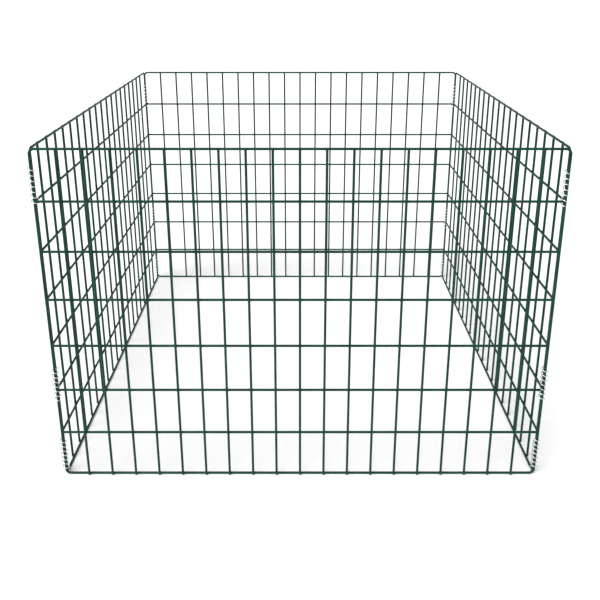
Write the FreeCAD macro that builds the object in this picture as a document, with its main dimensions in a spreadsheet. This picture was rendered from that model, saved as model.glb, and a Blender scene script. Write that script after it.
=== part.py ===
import FreeCAD, Part
import math
import os
import Sketcher
from FreeCAD import Placement, Rotation, Vector

# A square, open-topped pen of welded wire mesh. Four equal panels stand on edge in a
# square, and at each corner three wire coils are wound round the two upright edge
# wires that meet there, so each corner is also a hinge.
#
# +Z is up and the front panel faces -Y. The origin is on the ground, in the middle of
# the plan. All sizes are in millimetres.

SIZES = [
    # the panels
    ("panel_width", 1000.0, "centre to centre of a panel's two edge wires"),
    ("panel_height", 714.0, "centre to centre of a panel's bottom and top rails"),
    ("columns", 20, "mesh cells across a panel"),
    ("rows", 7, "mesh cells up a panel"),
    ("frame_diameter", 5.0, "wire bent into the panel's outer frame"),
    ("upright_diameter", 5.0, "upright mesh wires"),
    ("cross_diameter", 5.0, "level mesh wires"),
    ("corner_radius", 10.0, "centre line of the frame's corner bends"),
    ("upright_bite", 1.1, "how deep a weld sinks an upright into the wire behind it"),
    ("cross_bite", 0.2, "how deep a weld sinks a cross wire's end into the frame"),
    ("upright_inset", 2.2, "from an upright's end to the rail's outer side"),
    # the corners
    ("edge_gap", 0.3, "between the two edge wires that meet at a corner"),
    # the coils
    ("coil_wire", 1.8, "wire of the coils"),
    ("coil_clearance", 0.3, "from a coil's inside to the two edge wires in it"),
    ("coil_passing", 0.12, "from a cross wire to the turns above and below it"),
    ("coil_turns", 7.0, "turns of each coil"),
    ("low_coil_lap", 0.5, "how far the lowest coil reaches down the corner bend"),
    ("middle_coil_drop", 24.0, "start of the middle coil, below the second cross wire"),
    ("top_coil_drop", 9.0, "start of the top coil, below the highest cross wire"),
]

doc = FreeCAD.newDocument("wire_pen")
sheet = doc.addObject("Spreadsheet::Sheet", "Sizes")
for row, (alias, value, note) in enumerate(SIZES, start=1):
    sheet.set(f"A{row}", alias)
    sheet.set(f"B{row}", str(value))
    sheet.set(f"C{row}", note)
    sheet.setAlias(f"B{row}", alias)
doc.recompute()


# Sizes that follow from the sheet, as expressions
FRAME_RADIUS = "Sizes.frame_diameter / 2"
COLUMN = "Sizes.panel_width / Sizes.columns"
ROW = "Sizes.panel_height / Sizes.rows"
EDGE_SPACING = "(Sizes.frame_diameter + Sizes.edge_gap)"
UPRIGHT_OFFSET = "((Sizes.frame_diameter + Sizes.upright_diameter) / 2 - Sizes.upright_bite)"
SADDLE_RADIUS = f"({FRAME_RADIUS} - Sizes.cross_bite)"
COIL_RADIUS = (
    f"(({EDGE_SPACING} + Sizes.frame_diameter + Sizes.coil_wire) / 2 + Sizes.coil_clearance)"
)

# Seen from above, the front or back panel's cross wire leaves the coil a little off
# its middle, because the coil's axis is half way between the two edge wires. The
# nearest turn of the coil must clear both panels' cross wires, which lie at one height
# but on different sides of it, so the pitch follows from the angle between them.
WIRE_ANGLE = f"asin({EDGE_SPACING} / 2 / {COIL_RADIUS})"
TURN_SHARE = f"(0.375 - {WIRE_ANGLE} / (720 deg))"
TURN_REACH = "((Sizes.cross_diameter + Sizes.coil_wire) / 2 + Sizes.coil_passing)"
COIL_PITCH = (
    f"({TURN_REACH} / sqrt({TURN_SHARE}^2 - ({TURN_REACH} / (2 * pi * {COIL_RADIUS}))^2))"
)
MIDDLE_ANGLE = f"((90 deg - {WIRE_ANGLE}) / 2)"


def new_body(label):
    """An empty body that may hold several separate solids."""
    body = doc.addObject("PartDesign::Body", label)
    body.Label = label
    body.AllowCompound = True
    return body


def new_sketch(body, name, plane):
    """A sketch on one of a body's own origin planes."""
    sketch = body.newObject("Sketcher::SketchObject", name)
    planes = [item for item in body.Origin.OriginFeatures if item.Role == plane]
    sketch.AttachmentSupport = [(planes[0], "")]
    sketch.MapMode = "FlatFace"
    return sketch


def bind(sketch, constraint, name, expression):
    """Adds a dimension to a sketch and ties it to the sheet."""
    index = sketch.addConstraint(constraint)
    sketch.renameConstraint(index, name)
    sketch.setExpression(f"Constraints.{name}", expression)


def add_circle(sketch, name, across, up, radius):
    """A circle whose centre and radius are expressions."""
    centre = Vector(value_of(across), value_of(up), 0)
    index = sketch.addGeometry(Part.Circle(centre, Vector(0, 0, 1), value_of(radius)), False)
    bind(sketch, Sketcher.Constraint("DistanceX", -1, 1, index, 3, centre.x), f"{name}_across", across)
    bind(sketch, Sketcher.Constraint("DistanceY", -1, 1, index, 3, centre.y), f"{name}_up", up)
    bind(sketch, Sketcher.Constraint("Radius", index, value_of(radius)), f"{name}_radius", radius)


def value_of(expression):
    """What an expression comes to with the sheet's present values."""
    result = sheet.evalExpression(expression)
    return float(getattr(result, "Value", result))


def make_frame_wire(label):
    """The panel's outer frame: one wire bent round four corners and welded shut."""
    body = new_body(label)
    path = new_sketch(body, "frame_line", "XZ_Plane")
    half = value_of("Sizes.panel_width / 2")
    low = value_of(FRAME_RADIUS)
    high = low + value_of("Sizes.panel_height")
    bend = value_of("Sizes.corner_radius")
    corners = [(half, low), (half, high), (-half, high), (-half, low)]
    turns = [-90, 0, 90, 180]
    sides = [
        ((-half + bend, low), (half - bend, low)),
        ((half, low + bend), (half, high - bend)),
        ((half - bend, high), (-half + bend, high)),
        ((-half, high - bend), (-half, low + bend)),
    ]
    for start, end in sides:
        line = Part.LineSegment(Vector(*start, 0), Vector(*end, 0))
        path.addGeometry(line, False)
    for (across, up), turn in zip(corners, turns):
        centre = Vector(math.copysign(half - bend, across), up + (bend if up == low else -bend), 0)
        circle = Part.Circle(centre, Vector(0, 0, 1), bend)
        arc = Part.ArcOfCircle(circle, math.radians(turn), math.radians(turn + 90))
        path.addGeometry(arc, False)
    for side in range(4):
        bend_index = 4 + side
        path.addConstraint(Sketcher.Constraint("Tangent", side, 2, bend_index, 1))
        path.addConstraint(Sketcher.Constraint("Tangent", bend_index, 2, (side + 1) % 4, 1))
    for side in (0, 2):
        path.addConstraint(Sketcher.Constraint("Horizontal", side))
    for side in (1, 3):
        path.addConstraint(Sketcher.Constraint("Vertical", side))
    for bend_index in (5, 6, 7):
        path.addConstraint(Sketcher.Constraint("Equal", 4, bend_index))
    bind(path, Sketcher.Constraint("Radius", 4, bend), "bend", "Sizes.corner_radius")
    right = Sketcher.Constraint("DistanceX", -1, 1, 1, 1, half)
    bind(path, right, "right_edge", "Sizes.panel_width / 2")
    left = Sketcher.Constraint("DistanceX", 3, 1, -1, 1, half)
    bind(path, left, "left_edge", "Sizes.panel_width / 2")
    bottom = Sketcher.Constraint("DistanceY", -1, 1, 0, 1, low)
    bind(path, bottom, "bottom_rail", FRAME_RADIUS)
    top = Sketcher.Constraint("DistanceY", -1, 1, 2, 1, high)
    bind(path, top, "top_rail", f"Sizes.panel_height + {FRAME_RADIUS}")
    section = new_sketch(body, "frame_section", "YZ_Plane")
    add_circle(section, "wire", "0", FRAME_RADIUS, FRAME_RADIUS)
    pipe = body.newObject("PartDesign::AdditivePipe", "frame_bend")
    pipe.Profile = section
    pipe.Spine = (path, [])
    return body


def make_upright_wires(label):
    """The upright mesh wires, welded to the outer side of the rails and cross wires."""
    body = new_body(label)
    section = new_sketch(body, "upright_section", "XY_Plane")
    section.setExpression("AttachmentOffset.Base.z", "Sizes.upright_inset")
    first = f"{COLUMN} - Sizes.panel_width / 2"
    add_circle(section, "wire", first, f"-{UPRIGHT_OFFSET}", "Sizes.upright_diameter / 2")
    pad = body.newObject("PartDesign::Pad", "upright")
    pad.Profile = section
    length = "Sizes.panel_height + Sizes.frame_diameter - 2 * Sizes.upright_inset"
    pad.setExpression("Length", length)
    row = body.newObject("PartDesign::LinearPattern", "upright_row")
    row.Originals = [pad]
    row.Direction = (section, ["H_Axis"])
    row.setExpression("Length", "Sizes.panel_width - 2 * Sizes.panel_width / Sizes.columns")
    row.setExpression("Occurrences", "Sizes.columns - 1")
    body.Tip = row
    return body


def make_cross_wires(label):
    """The level mesh wires, butted and welded between the frame's two upright edges."""
    body = new_body(label)
    section = new_sketch(body, "cross_section", "YZ_Plane")
    add_circle(section, "wire", "0", f"{ROW} + {FRAME_RADIUS}", "Sizes.cross_diameter / 2")
    pad = body.newObject("PartDesign::Pad", "cross_wire")
    pad.Profile = section
    pad.SideType = "Symmetric"
    pad.setExpression("Length", "Sizes.panel_width")
    stack = body.newObject("PartDesign::LinearPattern", "cross_wire_stack")
    stack.Originals = [pad]
    stack.Direction = (section, ["V_Axis"])
    stack.setExpression("Length", f"Sizes.panel_height - 2 * {ROW}")
    stack.setExpression("Occurrences", "Sizes.rows - 1")
    body.Tip = stack
    doc.recompute()
    uncut = stack.Shape.Volume
    saddles = new_sketch(body, "edge_wires", "XY_Plane")
    add_circle(saddles, "left", "-Sizes.panel_width / 2", "0", SADDLE_RADIUS)
    add_circle(saddles, "right", "Sizes.panel_width / 2", "0", SADDLE_RADIUS)
    cut = body.newObject("PartDesign::Pocket", "saddle_cut")
    cut.Profile = saddles
    cut.Type = "Length"
    cut.Reversed = True
    cut.setExpression("Length", "Sizes.panel_height + Sizes.frame_diameter")
    body.Tip = cut
    doc.recompute()
    if not cut.Shape.Volume < uncut:
        raise SystemExit(f"{label}: the cross wires' ends were not cut")
    return body


def make_coil(label):
    """A left-handed coil of round wire, open at both ends."""
    body = new_body(label)
    section = new_sketch(body, "coil_section", "XZ_Plane")
    add_circle(section, "wire", COIL_RADIUS, "0", "Sizes.coil_wire / 2")
    helix = body.newObject("PartDesign::AdditiveHelix", "coil_turns")
    helix.Profile = section
    helix.ReferenceAxis = (section, ["V_Axis"])
    helix.Mode = "pitch-turns-angle"
    helix.LeftHanded = True
    helix.setExpression("Pitch", COIL_PITCH)
    helix.setExpression("Turns", "Sizes.coil_turns")
    return body


def place(body, across, back, up, turn):
    """Moves and turns a body about +Z, with every value an expression."""
    body.setExpression("Placement.Base.x", across)
    body.setExpression("Placement.Base.y", back)
    body.setExpression("Placement.Base.z", up)
    body.setExpression("Placement.Rotation.Angle", turn)


HALF_WIDTH = "Sizes.panel_width / 2"
FRONT_PLANE = f"({HALF_WIDTH} + {EDGE_SPACING})"
CORNER_MIDDLE = f"({HALF_WIDTH} + {EDGE_SPACING} / 2)"

# The side panels fit between the front and the back one. Each panel's uprights face out.
PANELS = {
    "front": ("0", f"-{FRONT_PLANE}", "0 deg"),
    "right": (HALF_WIDTH, "0", "90 deg"),
    "back": ("0", FRONT_PLANE, "180 deg"),
    "left": (f"-{HALF_WIDTH}", "0", "-90 deg"),
}

# Each corner, with the direction half way between its two panels seen from its coils
CORNERS = {
    "front_left": (f"-{HALF_WIDTH}", f"-{CORNER_MIDDLE}", MIDDLE_ANGLE),
    "front_right": (HALF_WIDTH, f"-{CORNER_MIDDLE}", f"(180 deg - {MIDDLE_ANGLE})"),
    "back_left": (f"-{HALF_WIDTH}", CORNER_MIDDLE, f"(-{MIDDLE_ANGLE})"),
    "back_right": (HALF_WIDTH, CORNER_MIDDLE, f"(180 deg + {MIDDLE_ANGLE})"),
}

# Each coil's start above the bottom rail's centre line, and the cross wire it passes
LEVELS = {
    "low": ("(Sizes.corner_radius - Sizes.low_coil_lap)", ROW),
    "middle": (f"(2 * {ROW} - Sizes.middle_coil_drop)", f"(2 * {ROW})"),
    "top": (
        f"(Sizes.panel_height - {ROW} - Sizes.top_coil_drop)",
        f"(Sizes.panel_height - {ROW})",
    ),
}

nodes = []
for side, (across, back, turn) in PANELS.items():
    for make, piece in (
        (make_frame_wire, "frame_wire"),
        (make_upright_wires, "upright_wires"),
        (make_cross_wires, "cross_wires"),
    ):
        body = make(f"{side}_{piece}")
        place(body, across, back, "0", turn)
        nodes.append(body)

for corner, (across, back, middle) in CORNERS.items():
    for level, (start, cross_wire) in LEVELS.items():
        body = make_coil(f"{corner}_{level}_coil")
        # half a pitch above the cross wire, a turn stands half way between the panels
        rise = f"(({cross_wire} - {start}) / {COIL_PITCH} + 0.5)"
        turn = f"{middle} + mod({rise}; 1) * 360 deg"
        place(body, across, back, f"{start} + {FRAME_RADIUS}", turn)
        nodes.append(body)

doc.recompute()

for item in doc.Objects:
    if "Invalid" in item.State or "Error" in item.State:
        raise SystemExit(f"{item.Name} failed: {item.State}")
for node in nodes:
    if node.Shape.isNull() or not node.Shape.isValid():
        raise SystemExit(f"{node.Label} has no valid shape")

os.makedirs("parts", exist_ok=True)
for node in nodes:
    node.Shape.exportStep(f"parts/{node.Label}.step")
    print(node.Label, len(node.Shape.Solids), round(node.Shape.Volume, 1))
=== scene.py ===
"""Looks for a square wire mesh pen: four welded panels joined by wire coils.

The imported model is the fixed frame. It keeps its wires, which get their finishes here, and
this script adds the weld beads, the coated wire ends and the detailed coils. All sizes are
in metres.
"""

import logging
import math
from collections.abc import Callable
from dataclasses import dataclass, field
from enum import Enum

import bpy
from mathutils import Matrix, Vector


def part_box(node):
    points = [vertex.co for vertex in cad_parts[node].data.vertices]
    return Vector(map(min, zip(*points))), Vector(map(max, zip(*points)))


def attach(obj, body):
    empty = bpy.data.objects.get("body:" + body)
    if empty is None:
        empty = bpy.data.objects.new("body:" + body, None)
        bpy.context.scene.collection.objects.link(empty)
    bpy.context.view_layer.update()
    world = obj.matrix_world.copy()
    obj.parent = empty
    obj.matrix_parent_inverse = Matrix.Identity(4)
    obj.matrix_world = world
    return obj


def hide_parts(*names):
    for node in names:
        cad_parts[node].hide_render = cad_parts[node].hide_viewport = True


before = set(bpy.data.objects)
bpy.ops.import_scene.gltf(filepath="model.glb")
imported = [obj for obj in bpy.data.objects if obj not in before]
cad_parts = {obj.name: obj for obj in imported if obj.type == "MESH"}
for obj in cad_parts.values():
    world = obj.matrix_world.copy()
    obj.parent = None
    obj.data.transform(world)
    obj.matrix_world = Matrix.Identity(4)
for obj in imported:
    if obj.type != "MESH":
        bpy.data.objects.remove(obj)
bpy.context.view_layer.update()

log = logging.getLogger("wire_pen")

MM = 0.001

QUARTER_TURN = math.radians(90)
FOUR_SIDED = 4
ROUND_PROFILE = 0.5
BEAD_SHADING = math.radians(60)
COIL_SHADING = math.radians(50)

# The colour sockets of Blender's Mix node, which share their names with its other sockets.
MIX_LOW = 6
MIX_HIGH = 7
MIX_RESULT = 2


class Side(Enum):
    """The four panels, with the turn about +Z that faces each one outwards."""

    FRONT = 0
    RIGHT = 90
    BACK = 180
    LEFT = 270

    @property
    def label(self) -> str:
        """The panel's name in the frame."""
        return self.name.lower()

    @property
    def body(self) -> str:
        """The body of the frame that the panel's pieces ride on."""
        return f"{self.label}_panel"


class Corner(Enum):
    """The four corners, each with the way to its side panel's and its end panel's middle.

    The first number is +1 where the end panel's cross wires leave towards +X, and the
    second is +1 where the side panel's cross wires leave towards +Y.
    """

    FRONT_LEFT = (1, 1)
    FRONT_RIGHT = (-1, 1)
    BACK_LEFT = (1, -1)
    BACK_RIGHT = (-1, -1)

    @property
    def label(self) -> str:
        """The corner's name in the frame."""
        return self.name.lower()

    @property
    def body(self) -> str:
        """The body that the corner's coils ride on: the front or the back panel."""
        return "front_panel" if self.label.startswith("front") else "back_panel"


class Level(Enum):
    """The three coils of a corner, from the ground up."""

    LOW = "low"
    MIDDLE = "middle"
    TOP = "top"


# ---------------------------------------------------------------------------- tools


def deselect_all() -> None:
    """Leaves nothing selected, so that an operator acts on new pieces only."""
    bpy.ops.object.select_all(action="DESELECT")


def only(piece: bpy.types.Object) -> bpy.types.Object:
    """Selects one piece alone and makes it the active one.

    Args:
        piece: The object to select.

    Returns:
        The same object.
    """
    deselect_all()
    piece.select_set(True)
    bpy.context.view_layer.objects.active = piece
    return piece


def settle(piece: bpy.types.Object) -> bpy.types.Object:
    """Moves a piece's place, turn and scale into its mesh.

    Args:
        piece: The object to settle.

    Returns:
        The same object, at the origin, unturned and unscaled.
    """
    only(piece)
    bpy.ops.object.transform_apply(location=True, rotation=True, scale=True)
    return piece


def apply_modifier(piece: bpy.types.Object, kind: str, **settings: object) -> None:
    """Adds a modifier to a piece, sets it up and applies it.

    Args:
        piece: The object that takes the modifier.
        kind: Blender's name for the modifier's type.
        settings: The modifier's properties.
    """
    only(piece)
    modifier = piece.modifiers.new(kind.lower(), kind)
    for name, value in settings.items():
        setattr(modifier, name, value)
    bpy.ops.object.modifier_apply(modifier=modifier.name)


def repeat(piece: bpy.types.Object, count: int, step: Vector) -> None:
    """Repeats a piece's mesh in an even row.

    Args:
        piece: The object whose mesh is repeated.
        count: How many there are in the row, the first included.
        step: The way from one to the next.
    """
    apply_modifier(
        piece,
        "ARRAY",
        count=count,
        use_relative_offset=False,
        use_constant_offset=True,
        constant_offset_displace=step,
        use_merge_vertices=False,
    )


def join(pieces: list[bpy.types.Object], name: str) -> bpy.types.Object:
    """Joins pieces into one object.

    Args:
        pieces: The objects to join.
        name: The name of the result.

    Returns:
        The joined object.
    """
    deselect_all()
    for piece in pieces:
        piece.select_set(True)
    bpy.context.view_layer.objects.active = pieces[0]
    bpy.ops.object.join()
    joined = bpy.context.view_layer.objects.active
    joined.name = name
    joined.data.name = name
    return joined


def face_outwards(piece: bpy.types.Object) -> None:
    """Makes every face of a closed piece point outwards.

    Args:
        piece: The object whose faces are turned.
    """
    only(piece)
    bpy.ops.object.mode_set(mode="EDIT")
    bpy.ops.mesh.select_all(action="SELECT")
    bpy.ops.mesh.normals_make_consistent(inside=False)
    bpy.ops.object.mode_set(mode="OBJECT")


def round_ends(
    piece: bpy.types.Object, width: float, segments: int, chosen: Callable[[Vector], bool]
) -> None:
    """Takes the sharp edge off a piece's flat, many-sided ends.

    Args:
        piece: The object whose ends are rounded.
        width: How far in the rounding reaches.
        segments: How many rows of faces it has.
        chosen: Says from an end's middle whether that end is rounded.
    """
    bpy.context.tool_settings.mesh_select_mode = (False, False, True)
    for part in (*piece.data.vertices, *piece.data.edges):
        part.select = False
    for face in piece.data.polygons:
        face.select = len(face.vertices) > FOUR_SIDED and chosen(face.center)
    only(piece)
    bpy.ops.object.mode_set(mode="EDIT")
    bpy.ops.mesh.region_to_loop()
    bpy.ops.mesh.bevel(offset=width, segments=segments, profile=ROUND_PROFILE)
    bpy.ops.object.mode_set(mode="OBJECT")


def smooth(piece: bpy.types.Object, angle: float) -> None:
    """Shades a piece smoothly across its flatter edges.

    Args:
        piece: The object to shade.
        angle: The greatest turn between two faces that still counts as smooth.
    """
    only(piece)
    bpy.ops.object.shade_smooth_by_angle(angle=angle)


# ------------------------------------------------------------------------- finishes


@dataclass(frozen=True)
class Grain:
    """A noise: its scale, in cycles to a metre, and how many finer layers it has."""

    scale: float
    detail: float


@dataclass(frozen=True)
class Span:
    """A range of values, and what its two ends come to."""

    low: float
    high: float
    at_low: float = 0.0
    at_high: float = 1.0


def new_group(
    name: str, inputs: dict[str, tuple[str, object]], outputs: dict[str, str]
) -> tuple[bpy.types.ShaderNodeTree, bpy.types.Node, bpy.types.Node]:
    """Makes a shader node group with named sockets.

    Args:
        name: The group's name.
        inputs: Each input's name, with its socket type and default.
        outputs: Each output's name, with its socket type.

    Returns:
        The group's tree, its input node and its output node.
    """
    group = bpy.data.node_groups.new(name, "ShaderNodeTree")
    for label, (kind, default) in inputs.items():
        socket = group.interface.new_socket(label, in_out="INPUT", socket_type=kind)
        socket.default_value = default
    for label, kind in outputs.items():
        group.interface.new_socket(label, in_out="OUTPUT", socket_type=kind)
    return group, group.nodes.new("NodeGroupInput"), group.nodes.new("NodeGroupOutput")


def add_node(tree: bpy.types.NodeTree, kind: str, **settings: object) -> bpy.types.Node:
    """Adds a node and sets its properties.

    Args:
        tree: The tree that the node goes into.
        kind: The node's type, without its ShaderNode prefix.
        settings: The node's properties.

    Returns:
        The new node.
    """
    node = tree.nodes.new("ShaderNode" + kind)
    for name, value in settings.items():
        setattr(node, name, value)
    return node


def noise(
    tree: bpy.types.NodeTree, vector: bpy.types.NodeSocket, grain: Grain
) -> bpy.types.NodeSocket:
    """Adds a noise texture.

    Args:
        tree: The tree that the node goes into.
        vector: The socket that gives its coordinates.
        grain: How coarse it is.

    Returns:
        The texture's value socket.
    """
    texture = add_node(tree, "TexNoise")
    texture.inputs["Scale"].default_value = grain.scale
    texture.inputs["Detail"].default_value = grain.detail
    tree.links.new(vector, texture.inputs["Vector"])
    return texture.outputs["Fac"]


def spread(
    tree: bpy.types.NodeTree, value: bpy.types.NodeSocket, span: Span
) -> bpy.types.NodeSocket:
    """Maps a value from one range to another.

    Args:
        tree: The tree that the node goes into.
        value: The socket to map.
        span: The two ranges.

    Returns:
        The mapped socket, which stays between what the span's two ends come to.
    """
    mapped = add_node(tree, "MapRange")
    mapped.inputs["From Min"].default_value = span.low
    mapped.inputs["From Max"].default_value = span.high
    mapped.inputs["To Min"].default_value = span.at_low
    mapped.inputs["To Max"].default_value = span.at_high
    tree.links.new(value, mapped.inputs["Value"])
    return mapped.outputs["Result"]


def spread_gloss(
    tree: bpy.types.NodeTree,
    value: bpy.types.NodeSocket,
    given: bpy.types.Node,
    span: Span,
) -> bpy.types.NodeSocket:
    """Maps a value to a roughness between a group's Gloss Low and Gloss High inputs.

    Args:
        tree: The group's tree.
        value: The socket to map.
        given: The group's input node.
        span: The range of values taken.

    Returns:
        The roughness socket.
    """
    roughness = spread(tree, value, span)
    tree.links.new(given.outputs["Gloss Low"], roughness.node.inputs["To Min"])
    tree.links.new(given.outputs["Gloss High"], roughness.node.inputs["To Max"])
    return roughness


def combine(
    tree: bpy.types.NodeTree,
    operation: str,
    first: bpy.types.NodeSocket,
    second: bpy.types.NodeSocket,
    clamp: bool = False,
) -> bpy.types.NodeSocket:
    """Works out one value from two that change over the surface.

    Args:
        tree: The tree that the node goes into.
        operation: Blender's name for the sum.
        first: The first value's socket.
        second: The second value's socket.
        clamp: Whether the result is held between 0 and 1.

    Returns:
        The result's socket.
    """
    sum_node = add_node(tree, "Math", operation=operation, use_clamp=clamp)
    for source, socket in zip((first, second), sum_node.inputs):
        tree.links.new(source, socket)
    return sum_node.outputs["Value"]


def blend_colour(
    tree: bpy.types.NodeTree,
    share: bpy.types.NodeSocket,
    low: bpy.types.NodeSocket,
    high: bpy.types.NodeSocket,
) -> bpy.types.NodeSocket:
    """Mixes two colours by a share that changes over the surface.

    Args:
        tree: The tree that the node goes into.
        share: The socket that gives the second colour's share.
        low: The first colour's socket.
        high: The second colour's socket.

    Returns:
        The mixed colour's socket.
    """
    mix = add_node(tree, "Mix", data_type="RGBA")
    tree.links.new(share, mix.inputs["Factor"])
    tree.links.new(low, mix.inputs[MIX_LOW])
    tree.links.new(high, mix.inputs[MIX_HIGH])
    return mix.outputs[MIX_RESULT]


TONE_DRIFT = Grain(scale=22.0, detail=3.0)
TONE_SPAN = Span(0.35, 0.65)
DUST_GRIT = Grain(scale=1500.0, detail=2.0)
DUST_SPAN = Span(0.45, 0.75, at_high=0.06)
COAT_GLOSS_DRIFT = Grain(scale=95.0, detail=2.0)
COAT_GLOSS_SPAN = Span(0.3, 0.7)
COARSE_PEEL = Grain(scale=900.0, detail=1.0)
FINE_PEEL = Grain(scale=2600.0, detail=1.0)
FINE_PEEL_SPAN = Span(0.0, 1.0, at_high=0.4)

ZINC_CRYSTALS = 900.0
CRYSTAL_SHARE = 0.3
DULL_PATCHES = Grain(scale=160.0, detail=3.0)
DULL_SPAN = Span(0.40, 0.70, at_high=0.7)
ZINC_GLOSS_SPAN = Span(0.0, 1.0)
SCRATCH_GRAIN = Grain(scale=260.0, detail=3.0)
SCRATCH_STRETCH = (1.0, 1.0, 14.0)


def make_powder_coat_group() -> bpy.types.ShaderNodeTree:
    """Makes the group for a powder coat on wire.

    The coat has a fine orange peel, slow changes of tone and gloss along the wires, and a
    little dust near the ground.

    Returns:
        The group's tree.
    """
    tree, given, out = new_group(
        "powder_coat_surface",
        {
            "Tone": ("NodeSocketColor", (0.03, 0.08, 0.06, 1)),
            "Light Tone": ("NodeSocketColor", (0.05, 0.11, 0.09, 1)),
            "Dust": ("NodeSocketColor", (0.30, 0.28, 0.24, 1)),
            "Dust Height": ("NodeSocketFloat", 0.06),
            "Gloss Low": ("NodeSocketFloat", 0.30),
            "Gloss High": ("NodeSocketFloat", 0.46),
        },
        {
            "Colour": "NodeSocketColor",
            "Roughness": "NodeSocketFloat",
            "Peel": "NodeSocketFloat",
        },
    )
    links = tree.links
    place = add_node(tree, "TexCoord").outputs["Object"]

    tone = spread(tree, noise(tree, place, TONE_DRIFT), TONE_SPAN)
    colour = blend_colour(tree, tone, given.outputs["Tone"], given.outputs["Light Tone"])

    split = add_node(tree, "SeparateXYZ")
    links.new(place, split.inputs["Vector"])
    lowness = spread(tree, split.outputs["Z"], Span(0.0, 1.0, at_low=1.0, at_high=0.0))
    links.new(given.outputs["Dust Height"], lowness.node.inputs["From Max"])
    grit = spread(tree, noise(tree, place, DUST_GRIT), DUST_SPAN)
    dust = combine(tree, "MULTIPLY", lowness, grit)
    colour = blend_colour(tree, dust, colour, given.outputs["Dust"])
    links.new(colour, out.inputs["Colour"])

    gloss = spread_gloss(tree, noise(tree, place, COAT_GLOSS_DRIFT), given, COAT_GLOSS_SPAN)
    links.new(combine(tree, "ADD", gloss, dust, clamp=True), out.inputs["Roughness"])

    fine_peel = spread(tree, noise(tree, place, FINE_PEEL), FINE_PEEL_SPAN)
    peel = combine(tree, "ADD", noise(tree, place, COARSE_PEEL), fine_peel)
    links.new(peel, out.inputs["Peel"])
    return tree


def make_drawn_zinc_group() -> bpy.types.ShaderNodeTree:
    """Makes the group for bright zinc on drawn wire.

    Its crystals differ a little in brightness and gloss, dull patches lie over them, and
    fine scratches run round the wire.

    Returns:
        The group's tree.
    """
    tree, given, out = new_group(
        "drawn_zinc_surface",
        {
            "Bright": ("NodeSocketColor", (0.80, 0.81, 0.82, 1)),
            "Dull": ("NodeSocketColor", (0.52, 0.54, 0.56, 1)),
            "Gloss Low": ("NodeSocketFloat", 0.16),
            "Gloss High": ("NodeSocketFloat", 0.38),
        },
        {
            "Colour": "NodeSocketColor",
            "Roughness": "NodeSocketFloat",
            "Scratches": "NodeSocketFloat",
        },
    )
    links = tree.links
    place = add_node(tree, "TexCoord").outputs["Object"]

    crystals = add_node(tree, "TexVoronoi")
    crystals.inputs["Scale"].default_value = ZINC_CRYSTALS
    links.new(place, crystals.inputs["Vector"])
    crystal = add_node(tree, "SeparateColor")
    links.new(crystals.outputs["Color"], crystal.inputs["Color"])
    patches = spread(tree, noise(tree, place, DULL_PATCHES), DULL_SPAN)
    dulling = add_node(tree, "Math", operation="MULTIPLY_ADD", use_clamp=True)
    factor, share, addend = dulling.inputs
    links.new(crystal.outputs["Red"], factor)
    share.default_value = CRYSTAL_SHARE
    links.new(patches, addend)
    dulled = dulling.outputs["Value"]
    colour = blend_colour(tree, dulled, given.outputs["Bright"], given.outputs["Dull"])
    links.new(colour, out.inputs["Colour"])

    links.new(spread_gloss(tree, dulled, given, ZINC_GLOSS_SPAN), out.inputs["Roughness"])

    along = add_node(tree, "Mapping")
    along.inputs["Scale"].default_value = SCRATCH_STRETCH
    links.new(place, along.inputs["Vector"])
    scratches = noise(tree, along.outputs["Vector"], SCRATCH_GRAIN)
    links.new(scratches, out.inputs["Scratches"])
    return tree


@dataclass(frozen=True)
class PowderCoat:
    """A coloured powder coat on steel wire.

    The tones are linear colours, the gloss values are the least and greatest roughness, and
    the heights are in metres.
    """

    name: str
    tone: tuple[float, float, float]
    light_tone: tuple[float, float, float]
    gloss_low: float = 0.28
    gloss_high: float = 0.44
    peel_height: float = 0.14 * MM
    peel_strength: float = 0.85
    dust_height: float = 70.0 * MM
    refraction: float = 1.45
    shine: float = 0.16

    def build(self, group: bpy.types.ShaderNodeTree) -> bpy.types.Material:
        """Builds the material.

        Args:
            group: The powder coat's node group.

        Returns:
            The new material.
        """
        material = bpy.data.materials.new(self.name)
        material.use_nodes = True
        tree = material.node_tree
        shader = tree.nodes["Principled BSDF"]
        coat = add_node(tree, "Group", node_tree=group)
        coat.inputs["Tone"].default_value = (*self.tone, 1)
        coat.inputs["Light Tone"].default_value = (*self.light_tone, 1)
        coat.inputs["Gloss Low"].default_value = self.gloss_low
        coat.inputs["Gloss High"].default_value = self.gloss_high
        coat.inputs["Dust Height"].default_value = self.dust_height
        tree.links.new(coat.outputs["Colour"], shader.inputs["Base Color"])
        tree.links.new(coat.outputs["Roughness"], shader.inputs["Roughness"])
        bump = add_node(tree, "Bump")
        bump.inputs["Distance"].default_value = self.peel_height
        bump.inputs["Strength"].default_value = self.peel_strength
        tree.links.new(coat.outputs["Peel"], bump.inputs["Height"])
        tree.links.new(bump.outputs["Normal"], shader.inputs["Normal"])
        shader.inputs["IOR"].default_value = self.refraction
        shader.inputs["Specular IOR Level"].default_value = self.shine
        return material


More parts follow.
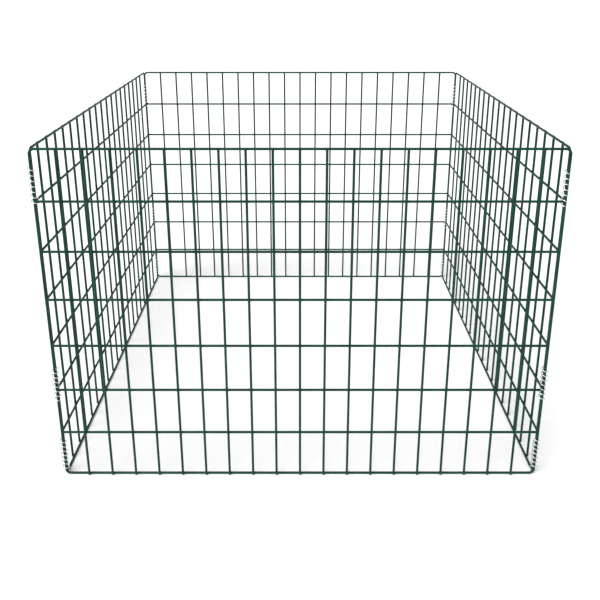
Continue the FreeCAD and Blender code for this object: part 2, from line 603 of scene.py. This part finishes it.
@dataclass(frozen=True)
class DrawnZinc:
    """Bright zinc on drawn spring wire, with linear colours."""

    name: str
    bright: tuple[float, float, float]
    dull: tuple[float, float, float]
    gloss_low: float = 0.16
    gloss_high: float = 0.38
    scratch_depth: float = 0.02 * MM
    scratch_strength: float = 0.5

    def build(self, group: bpy.types.ShaderNodeTree) -> bpy.types.Material:
        """Builds the material.

        Args:
            group: The zinc's node group.

        Returns:
            The new material.
        """
        material = bpy.data.materials.new(self.name)
        material.use_nodes = True
        tree = material.node_tree
        shader = tree.nodes["Principled BSDF"]
        zinc = add_node(tree, "Group", node_tree=group)
        zinc.inputs["Bright"].default_value = (*self.bright, 1)
        zinc.inputs["Dull"].default_value = (*self.dull, 1)
        zinc.inputs["Gloss Low"].default_value = self.gloss_low
        zinc.inputs["Gloss High"].default_value = self.gloss_high
        tree.links.new(zinc.outputs["Colour"], shader.inputs["Base Color"])
        tree.links.new(zinc.outputs["Roughness"], shader.inputs["Roughness"])
        bump = add_node(tree, "Bump")
        bump.inputs["Distance"].default_value = self.scratch_depth
        bump.inputs["Strength"].default_value = self.scratch_strength
        tree.links.new(zinc.outputs["Scratches"], bump.inputs["Height"])
        tree.links.new(bump.outputs["Normal"], shader.inputs["Normal"])
        shader.inputs["Metallic"].default_value = 1.0
        return material


@dataclass(frozen=True)
class StudioWhite:
    """The plain pale floor that the pen stands on."""

    name: str = "studio_white"
    colour: tuple[float, float, float] = (0.92, 0.92, 0.92)
    roughness: float = 0.9
    shine: float = 0.1

    def build(self) -> bpy.types.Material:
        """Builds the floor's matt material.

        Returns:
            The new material.
        """
        material = bpy.data.materials.new(self.name)
        material.use_nodes = True
        shader = material.node_tree.nodes["Principled BSDF"]
        shader.inputs["Base Color"].default_value = (*self.colour, 1)
        shader.inputs["Roughness"].default_value = self.roughness
        shader.inputs["Specular IOR Level"].default_value = self.shine
        return material


MOSS = (0.0015, 0.032, 0.0185)
LIGHT_MOSS = (0.005, 0.051, 0.031)
BRIGHT_ZINC = (0.94, 0.945, 0.95)
DULL_ZINC = (0.74, 0.755, 0.77)


@dataclass
class Finishes:
    """Every material of the object, each built once."""

    frame_coat: bpy.types.Material
    mesh_coat: bpy.types.Material
    weld_coat: bpy.types.Material
    zinc: bpy.types.Material

    @classmethod
    def build(cls) -> "Finishes":
        """Builds the node groups and the materials that use them.

        Returns:
            The finishes.
        """
        coat = make_powder_coat_group()
        zinc = make_drawn_zinc_group()
        frame_coat = PowderCoat("frame_powder_coat", MOSS, LIGHT_MOSS)
        mesh_coat = PowderCoat(
            "mesh_powder_coat", MOSS, LIGHT_MOSS, gloss_low=0.30, gloss_high=0.48
        )
        weld_coat = PowderCoat(
            "weld_powder_coat",
            MOSS,
            LIGHT_MOSS,
            gloss_low=0.34,
            gloss_high=0.52,
            peel_height=0.2 * MM,
        )
        coil_zinc = DrawnZinc("coil_zinc", BRIGHT_ZINC, DULL_ZINC)
        return cls(
            frame_coat.build(coat),
            mesh_coat.build(coat),
            weld_coat.build(coat),
            coil_zinc.build(zinc),
        )


def dress(piece: bpy.types.Object, material: bpy.types.Material) -> None:
    """Gives a piece one material in place of any that it has.

    Args:
        piece: The object to dress.
        material: Its new material.
    """
    piece.data.materials.clear()
    piece.data.materials.append(material)


# --------------------------------------------------------------------------- panels


@dataclass
class Panel:
    """One welded mesh panel: the frame's wires, with beads and ends added to them.

    Pieces are made in the front panel's own plane, standing on the ground and facing -Y,
    and are then turned and moved to their side of the pen. Besides its lengths, the panel
    holds these shares: bead_rounding is the share of a bead's depth that its rounded edge
    takes, bead_lobe how much further it reaches at the corners of a crossing, rail_squeeze
    its height where it lies on a rail, fillet_widening how much wider than the wire a
    fillet is, end_fit an end cap's radius against the wire's, and end_rounding the share of
    the cap's height that is rounded.
    """

    side: Side
    finishes: Finishes
    columns: int = 20
    rows: int = 7
    bead_sides: int = 16
    bead_reach: float = 3.0 * MM
    bead_depth: float = 2.2 * MM
    bead_rounding: float = 0.34
    bead_lobe: float = 0.19
    rail_squeeze: float = 0.74
    fillet_sides: int = 24
    fillet_cuts: int = 3
    fillet_rise: float = 0.75 * MM
    fillet_length: float = 1.1 * MM
    fillet_sink: float = 0.05 * MM
    fillet_widening: float = 1.004
    end_sides: int = 16
    end_height: float = 0.24 * MM
    end_fit: float = 0.985
    end_rounding: float = 0.95
    end_rows: int = 2
    wire: float = field(init=False)
    width: float = field(init=False)
    height: float = field(init=False)
    layer: float = field(init=False)
    place: Vector = field(init=False)

    def __post_init__(self) -> None:
        """Reads the panel's sizes and place from the frame."""
        low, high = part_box(f"{self.side.label}_frame_wire")
        size = high - low
        self.wire = min(size.x, size.y)
        self.width = max(size.x, size.y) - self.wire
        self.height = size.z - self.wire
        middle = (low + high) / 2
        self.place = Vector((middle.x, middle.y, 0))
        outer_low, outer_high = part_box(f"{self.side.label}_upright_wires")
        outer_middle = (outer_low + outer_high) / 2
        self.layer = (outer_middle - middle).to_2d().length

    @property
    def column(self) -> float:
        """The distance from one upright to the next."""
        return self.width / self.columns

    @property
    def row(self) -> float:
        """The distance from one cross wire to the next."""
        return self.height / self.rows

    def build(self) -> list[bpy.types.Object]:
        """Builds the panel's added pieces and dresses its wires.

        Returns:
            The new pieces.
        """
        label = self.side.label
        dress(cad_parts[f"{label}_frame_wire"], self.finishes.frame_coat)
        dress(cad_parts[f"{label}_upright_wires"], self.finishes.mesh_coat)
        dress(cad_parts[f"{label}_cross_wires"], self.finishes.mesh_coat)
        pieces = [
            self.mesh_welds(),
            self.rail_welds(),
            self.edge_welds(),
            self.wire_ends(),
        ]
        for piece in pieces:
            piece.location = self.place
            piece.rotation_euler.z = math.radians(self.side.value)
            settle(piece)
            dress(piece, self.finishes.weld_coat)
            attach(piece, self.side.body)
        return pieces

    def bead(self, across: float, up: float) -> bpy.types.Object:
        """Models the bead that fills the crease where an upright crosses another wire.

        It is a flat pillow between the two wires, drawn out a little to the four corners
        of the crossing, where the squeezed metal and the coat gather.

        Args:
            across: Its place across the panel, from the middle.
            up: Its height above the ground.

        Returns:
            The bead.
        """
        deselect_all()
        bpy.ops.mesh.primitive_cylinder_add(
            vertices=self.bead_sides,
            radius=self.bead_reach,
            depth=self.bead_depth,
            location=(across, -self.layer / 2, up),
            rotation=(QUARTER_TURN, 0, 0),
        )
        bead = settle(bpy.context.object)
        round_ends(bead, self.bead_depth * self.bead_rounding, 1, lambda middle: True)
        for vertex in bead.data.vertices:
            way = Vector((vertex.co.x - across, 0, vertex.co.z - up))
            corner = abs(math.sin(2 * math.atan2(way.z, way.x)))
            vertex.co += way * self.bead_lobe * corner**2
        smooth(bead, BEAD_SHADING)
        return bead

    def mesh_welds(self) -> bpy.types.Object:
        """Models the beads between the uprights and the cross wires.

        Returns:
            The beads as one piece.
        """
        first = self.column - self.width / 2
        bead = self.bead(first, self.row + self.wire / 2)
        repeat(bead, self.columns - 1, Vector((self.column, 0, 0)))
        repeat(bead, self.rows - 1, Vector((0, 0, self.row)))
        bead.name = bead.data.name = f"{self.side.label}_mesh_welds"
        return bead

    def rail_welds(self) -> bpy.types.Object:
        """Models the beads between the uprights and the two rails.

        Returns:
            The beads as one piece.
        """
        first = self.column - self.width / 2
        bead = self.bead(first, self.wire / 2)
        only(bead)
        bpy.ops.object.mode_set(mode="EDIT")
        bpy.ops.mesh.select_all(action="SELECT")
        bpy.ops.transform.resize(
            value=(1.0, 1.0, self.rail_squeeze),
            center_override=(first, -self.layer / 2, self.wire / 2),
        )
        bpy.ops.object.mode_set(mode="OBJECT")
        repeat(bead, self.columns - 1, Vector((self.column, 0, 0)))
        repeat(bead, 2, Vector((0, 0, self.height)))
        bead.name = bead.data.name = f"{self.side.label}_rail_welds"
        return bead

    def edge_fillet(self, way: int) -> bpy.types.Object:
        """Models the saddle-shaped welds between one upright edge and the cross wires.

        Args:
            way: +1 at the right-hand edge, and -1 at the left-hand one.

        Returns:
            A column of fillets, one to each cross wire.
        """
        radius = self.wire / 2
        deselect_all()
        bpy.ops.mesh.primitive_cylinder_add(
            vertices=self.fillet_sides,
            radius=radius,
            depth=self.fillet_length,
            end_fill_type="TRIFAN",
            location=(0, 0, self.row + radius),
            rotation=(0, QUARTER_TURN, 0),
        )
        fillet = settle(bpy.context.object)
        bpy.ops.object.mode_set(mode="EDIT")
        bpy.ops.mesh.select_all(action="DESELECT")
        bpy.ops.object.mode_set(mode="OBJECT")
        for edge in fillet.data.edges:
            ends = [fillet.data.vertices[index].co for index in edge.vertices]
            edge.select = abs(ends[0].x - ends[1].x) > self.fillet_length / 2
        bpy.ops.object.mode_set(mode="EDIT")
        bpy.ops.mesh.subdivide(number_cuts=self.fillet_cuts)
        bpy.ops.object.mode_set(mode="OBJECT")
        for vertex in fillet.data.vertices:
            along = vertex.co.x / self.fillet_length + 0.5
            rise = vertex.co.z - self.row - radius
            saddle = math.sqrt(max(radius**2 - vertex.co.y**2, 0.0))
            swell = self.fillet_rise * (1 - along) ** 2 * abs(rise) / radius
            vertex.co.z += math.copysign(swell, rise)
            vertex.co.y *= self.fillet_widening
            reach = self.width / 2 - saddle - along * self.fillet_length + self.fillet_sink
            vertex.co.x = way * reach
        face_outwards(fillet)
        smooth(fillet, BEAD_SHADING)
        repeat(fillet, self.rows - 1, Vector((0, 0, self.row)))
        return fillet

    def edge_welds(self) -> bpy.types.Object:
        """Models the welds between the cross wires and the frame's two upright edges.

        Returns:
            The welds as one piece.
        """
        name = f"{self.side.label}_edge_welds"
        return join([self.edge_fillet(-1), self.edge_fillet(1)], name)

    def end_cap(self, up: float, way: int) -> bpy.types.Object:
        """Models the coated, slightly rounded ends of the uprights on one rail.

        Args:
            up: The height of the wires' cut ends.
            way: +1 at its top and -1 at its bottom.

        Returns:
            A row of caps, one to each upright.
        """
        first = self.column - self.width / 2
        deselect_all()
        bpy.ops.mesh.primitive_cylinder_add(
            vertices=self.end_sides,
            radius=self.wire / 2 * self.end_fit,
            depth=2 * self.end_height,
            location=(first, -self.layer, up),
        )
        cap = settle(bpy.context.object)
        rounding = self.end_height * self.end_rounding
        round_ends(cap, rounding, self.end_rows, lambda middle: way * (middle.z - up) > 0)
        smooth(cap, BEAD_SHADING)
        repeat(cap, self.columns - 1, Vector((self.column, 0, 0)))
        return cap

    def wire_ends(self) -> bpy.types.Object:
        """Models the coated ends of the uprights, above and below.

        Returns:
            The ends as one piece.
        """
        low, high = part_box(f"{self.side.label}_upright_wires")
        name = f"{self.side.label}_wire_ends"
        return join([self.end_cap(high.z, 1), self.end_cap(low.z, -1)], name)


# ---------------------------------------------------------------------------- coils


@dataclass
class Coil:
    """One left-handed coil round the two edge wires of a corner."""

    corner: Corner
    level: Level
    finishes: Finishes
    wire: float = 1.8 * MM
    turns: float = 7.0
    round_faces: int = 18
    turn_steps: int = 44
    end_bevel: float = 0.28 * MM
    end_rows: int = 2

    @property
    def node(self) -> str:
        """The coil's name in the frame."""
        return f"{self.corner.label}_{self.level.value}_coil"

    def cross_wire(self, start: float) -> float:
        """The height of the cross wire that passes through the coil, or is next above it.

        Args:
            start: The height at which the coil's centre line starts.

        Returns:
            The cross wire's height.
        """
        panel = Panel(Side.FRONT, self.finishes)
        above = math.ceil((start - panel.wire / 2) / panel.row)
        return above * panel.row + panel.wire / 2

    def start_turn(self, start: float, pitch: float, radius: float, apart: float) -> float:
        """The direction in which the coil's centre line starts, seen from above.

        Half a pitch above the cross wire, a turn stands half way between the directions
        in which the two panels' cross wires leave the corner.

        Args:
            start: The height at which the centre line starts.
            pitch: The rise of the centre line in one turn.
            radius: The centre line's radius.
            apart: The distance between the corner's two edge wires.

        Returns:
            The angle about +Z.
        """
        lean = math.asin(apart / 2 / radius)
        middle = (math.pi / 2 - lean) / 2
        across, back = self.corner.value
        if across < 0:
            middle = math.pi - middle
        turns_up = (self.cross_wire(start) - start) / pitch + 0.5
        return back * middle + 2 * math.pi * turns_up

    def build(self) -> bpy.types.Object:
        """Models the coil in place of the frame's plain one.

        Returns:
            The new coil.
        """
        low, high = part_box(self.node)
        middle = (low + high) / 2
        radius = (high.x - low.x - self.wire) / 2
        slope = math.atan((high.z - low.z) / self.turns / (2 * math.pi * radius))
        start = low.z + self.wire / 2 * math.cos(slope)
        rise = high.z - low.z - self.wire * math.cos(slope)
        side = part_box(f"{self.corner.label.split('_')[1]}_frame_wire")
        edge = side[0].y if self.corner.value[1] > 0 else side[1].y
        panel_wire = side[1].x - side[0].x
        edge_middle = edge + self.corner.value[1] * panel_wire / 2
        apart = 2 * abs(middle.y - edge_middle)

        deselect_all()
        bpy.ops.mesh.primitive_circle_add(
            vertices=self.round_faces,
            radius=self.wire / 2,
            location=(radius, 0, 0),
            rotation=(QUARTER_TURN + slope, 0, 0),
        )
        coil = settle(bpy.context.object)
        steps = round(self.turn_steps * self.turns)
        apply_modifier(
            coil,
            "SCREW",
            angle=-2 * math.pi * self.turns,
            screw_offset=rise,
            axis="Z",
            iterations=1,
            steps=steps,
            render_steps=steps,
            use_smooth_shade=True,
        )
        self.close_ends(coil)
        coil.location = (middle.x, middle.y, start)
        coil.rotation_euler.z = self.start_turn(start, rise / self.turns, radius, apart)
        settle(coil)
        coil.name = coil.data.name = f"{self.node}_spring"
        dress(coil, self.finishes.zinc)
        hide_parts(self.node)
        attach(coil, self.corner.body)
        return coil

    def close_ends(self, coil: bpy.types.Object) -> None:
        """Closes the coil's two cut ends and takes the sharp edge off them.

        Args:
            coil: The open, tube-shaped coil.
        """
        only(coil)
        bpy.ops.object.mode_set(mode="EDIT")
        bpy.ops.mesh.select_mode(type="EDGE")
        bpy.ops.mesh.select_all(action="DESELECT")
        bpy.ops.mesh.select_non_manifold(extend=False)
        bpy.ops.mesh.fill_holes(sides=0)
        bpy.ops.mesh.select_all(action="SELECT")
        bpy.ops.mesh.normals_make_consistent(inside=False)
        bpy.ops.object.mode_set(mode="OBJECT")
        round_ends(coil, self.end_bevel, self.end_rows, lambda middle: True)
        smooth(coil, COIL_SHADING)


# ---------------------------------------------------------------------------- studio


@dataclass
class Studio:
    """The floor, the light and the camera.

    The camera stands in front of the pen, looks a little down and has its frame shifted
    down as well.
    """

    floor_size: float = 60.0
    lens: float = 42.11
    sensor: float = 36.0
    camera_back: float = 1.7602
    camera_up: float = 1.0304
    look_down: float = math.radians(17.391)
    shift_up: float = -0.18333
    sky_strength: float = 0.62
    backdrop_strength: float = 1.02
    key_strength: float = 2.9
    key_spread: float = math.radians(50)
    key_place: tuple[float, float, float] = (-1.6, -2.0, 3.4)
    key_aim: tuple[float, float, float] = (0.0, 0.0, 0.35)

    def build(self) -> None:
        """Builds the floor, the sky, the key light and the camera."""
        bpy.context.scene.view_settings.view_transform = "Standard"
        self.floor()
        self.sky()
        self.key_light()
        self.camera()

    def floor(self) -> None:
        """Builds the plain pale floor."""
        deselect_all()
        bpy.ops.mesh.primitive_plane_add(size=self.floor_size)
        floor = bpy.context.object
        floor.name = "floor"
        dress(floor, StudioWhite().build())

    def sky(self) -> None:
        """Builds an even white surround that lights the pen less than it shows behind it."""
        world = bpy.data.worlds.new("studio")
        world.use_nodes = True
        tree = world.node_tree
        rays = add_node(tree, "LightPath")
        strength = add_node(tree, "MapRange")
        strength.inputs["To Min"].default_value = self.sky_strength
        strength.inputs["To Max"].default_value = self.backdrop_strength
        tree.links.new(rays.outputs["Is Camera Ray"], strength.inputs["Value"])
        background = tree.nodes["Background"]
        background.inputs["Color"].default_value = (1.0, 1.0, 1.0, 1)
        tree.links.new(strength.outputs["Result"], background.inputs["Strength"])
        bpy.context.scene.world = world

    def key_light(self) -> None:
        """Builds one broad, soft light from above and in front, on the left."""
        deselect_all()
        bpy.ops.object.light_add(type="SUN", location=self.key_place)
        key = bpy.context.object
        key.name = "key_light"
        key.data.energy = self.key_strength
        key.data.angle = self.key_spread
        aim = Vector(self.key_aim) - key.location
        key.rotation_euler = aim.to_track_quat("-Z", "Y").to_euler()

    def camera(self) -> None:
        """Builds the camera, in front of the pen and above its top."""
        deselect_all()
        bpy.ops.object.camera_add(
            location=(0, -self.camera_back, self.camera_up),
            rotation=(QUARTER_TURN - self.look_down, 0, 0),
        )
        camera = bpy.context.object
        camera.data.sensor_width = self.sensor
        camera.data.lens = self.lens
        camera.data.shift_y = self.shift_up
        bpy.context.scene.camera = camera


def main() -> None:
    """Builds the studio, the panels and the coils, and reports each piece."""
    logging.basicConfig(level=logging.INFO, format="%(name)s: %(message)s")
    Studio().build()
    finishes = Finishes.build()
    for side in Side:
        for piece in Panel(side, finishes).build():
            log.info("%s: %d faces", piece.name, len(piece.data.polygons))
    for corner in Corner:
        for level in Level:
            piece = Coil(corner, level, finishes).build()
            log.info("%s: %d faces", piece.name, len(piece.data.polygons))


if __name__ == "__main__":
    main()
